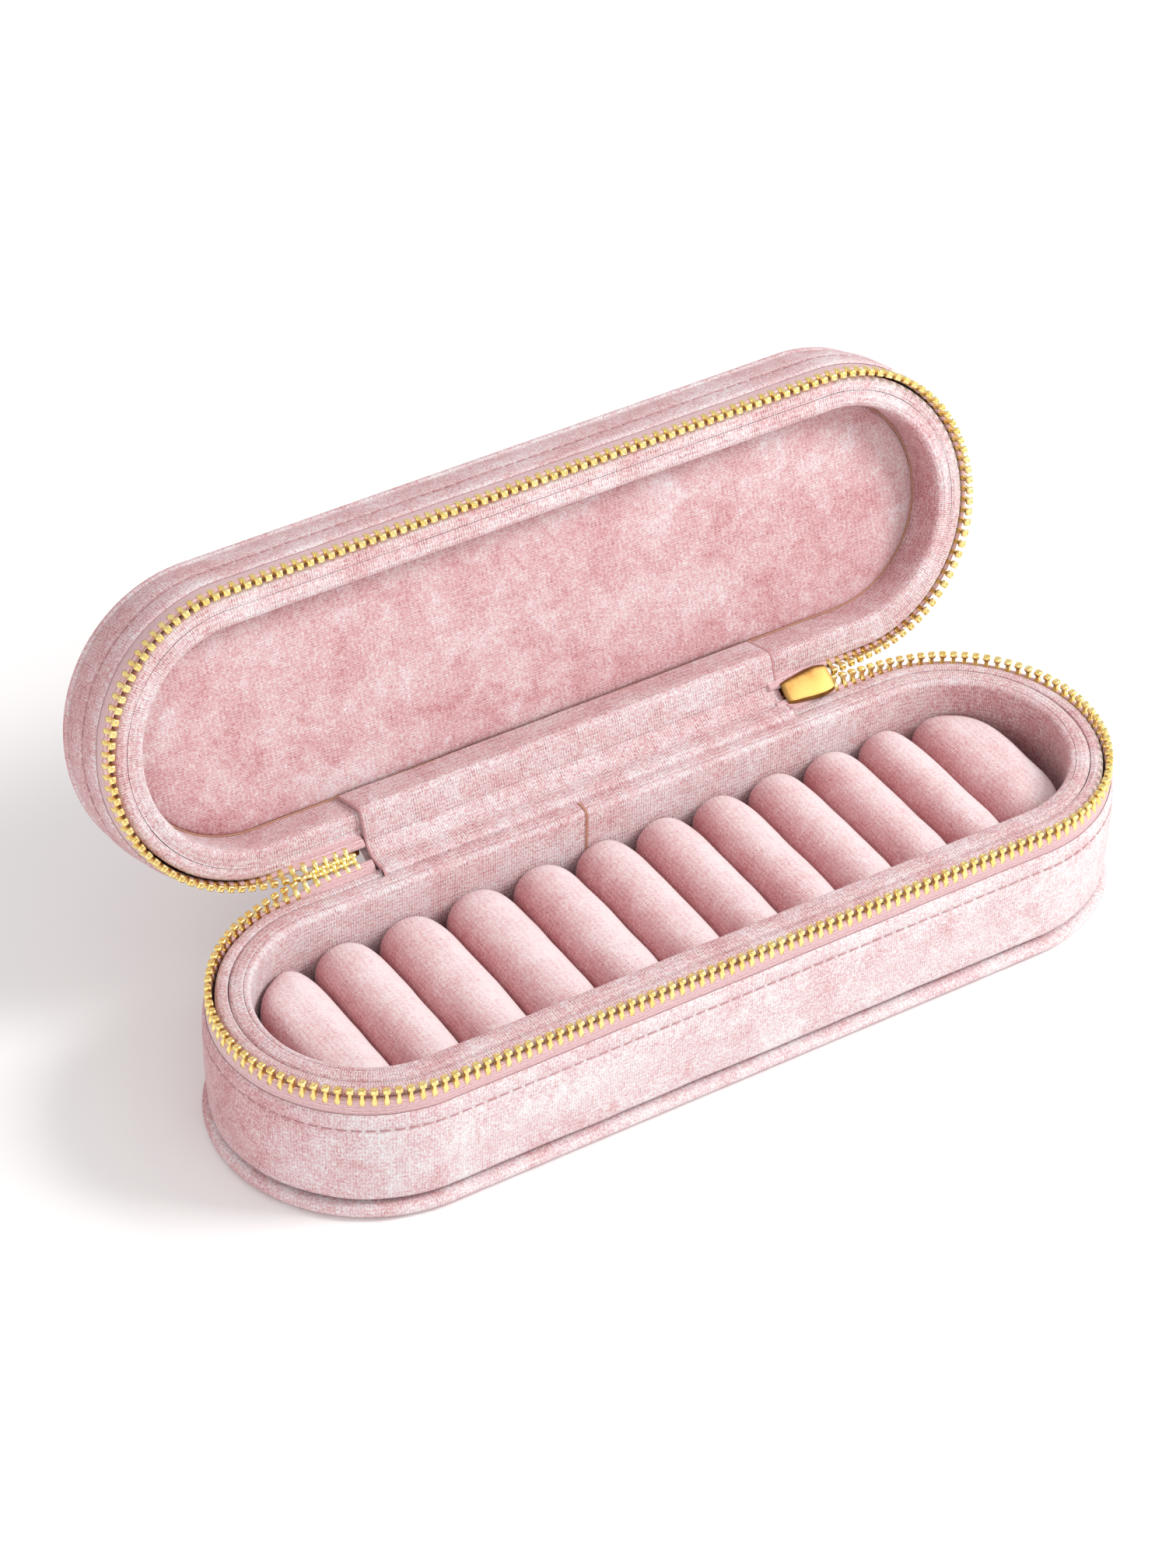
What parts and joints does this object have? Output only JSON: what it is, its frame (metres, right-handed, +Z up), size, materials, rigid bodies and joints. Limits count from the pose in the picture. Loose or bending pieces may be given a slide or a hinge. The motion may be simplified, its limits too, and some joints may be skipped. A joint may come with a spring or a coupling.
{
  "type": "jewelry box",
  "caption": "Pill-shaped velvet travel ring box with a padded base, foam ring rolls, a hollow lid on a soft hinge and a metal zip round the side.",
  "frame": {"origin": "centre of the base's flat underside", "axes": "+X along the box to its right end as seen from the front, +Y to the hinge at the back, +Z up"},
  "size_m": [0.2228, 0.1142, 0.1007],
  "materials": {
    "velvet": "crushed velvet over board, dusty pink",
    "liner_velvet": "short-pile velvet lining, dusty pink",
    "roll_velvet": "short-pile velvet over foam, dusty pink",
    "zip_tape": "woven zip tape, pink",
    "gold_metal": "polished pale gold plating",
    "card": "grey-brown card",
    "foam": "plain foam"
  },
  "bodies": {
    "base": {"base_bottom_board": "velvet", "base_wall_cover": "velvet", "base_zip_tape": "zip_tape", "base_zip_teeth": "gold_metal", "base_inner_shell": "liner_velvet", "base_liner_wall": "liner_velvet", "ring_pad_card": "card", "zip_top_stop_base": "gold_metal", "hinge_flap": "liner_velvet", "hinge_spine": "velvet", "ring_roll_01": "roll_velvet", "ring_roll_02": "roll_velvet", "ring_roll_03": "roll_velvet", "ring_roll_04": "roll_velvet", "ring_roll_05": "roll_velvet", "ring_roll_06": "roll_velvet", "ring_roll_07": "roll_velvet", "ring_roll_08": "roll_velvet", "ring_roll_09": "roll_velvet", "ring_roll_10": "roll_velvet", "ring_roll_11": "roll_velvet", "ring_roll_12": "roll_velvet"},
    "lid": {"lid_top_board": "velvet", "lid_wall_cover": "velvet", "lid_zip_tape": "zip_tape", "lid_zip_teeth": "gold_metal", "lid_inner_shell": "liner_velvet", "lid_liner_wall": "liner_velvet", "lid_floor_panel": "liner_velvet", "lid_foam_pad": "foam", "zip_top_stop_lid": "gold_metal"},
    "zip_end": {"zip_bottom_stop": "gold_metal"},
    "slider": {"zip_slider_body": "gold_metal", "zip_slider_bridge": "gold_metal"},
    "pull_tab": {"zip_pull_tab": "gold_metal"}
  },
  "joints": [
    {"name": "lid_hinge", "type": "hinge", "parent": "base", "child": "lid", "pos_m": [0, 0.0359, 0.0336], "axis": [1, 0, 0], "range_deg": [0, 107.5], "deforming": ["hinge_flap", "hinge_spine"]},
    {"name": "zip_end_tilt", "type": "hinge", "parent": "base", "child": "zip_end", "pos_m": [0, 0.0359, 0.0336], "axis": [1, 0, 0], "range_deg": [0, 53.75]},
    {"name": "slider_slide", "type": "slide", "parent": "zip_end", "child": "slider", "axis": [1, 0, 0], "range_m": [0, 0.008]},
    {"name": "tab_swing", "type": "hinge", "parent": "slider", "child": "pull_tab", "pos_m": [0.058, 0.0383, 0.03033], "axis": [0, 0.8064, 0.5913], "range_deg": [-80, 80]}
  ],
  "couplings": [
    {"joint": "zip_end_tilt", "follows": "lid_hinge", "ratio": 0.5}
  ]
}
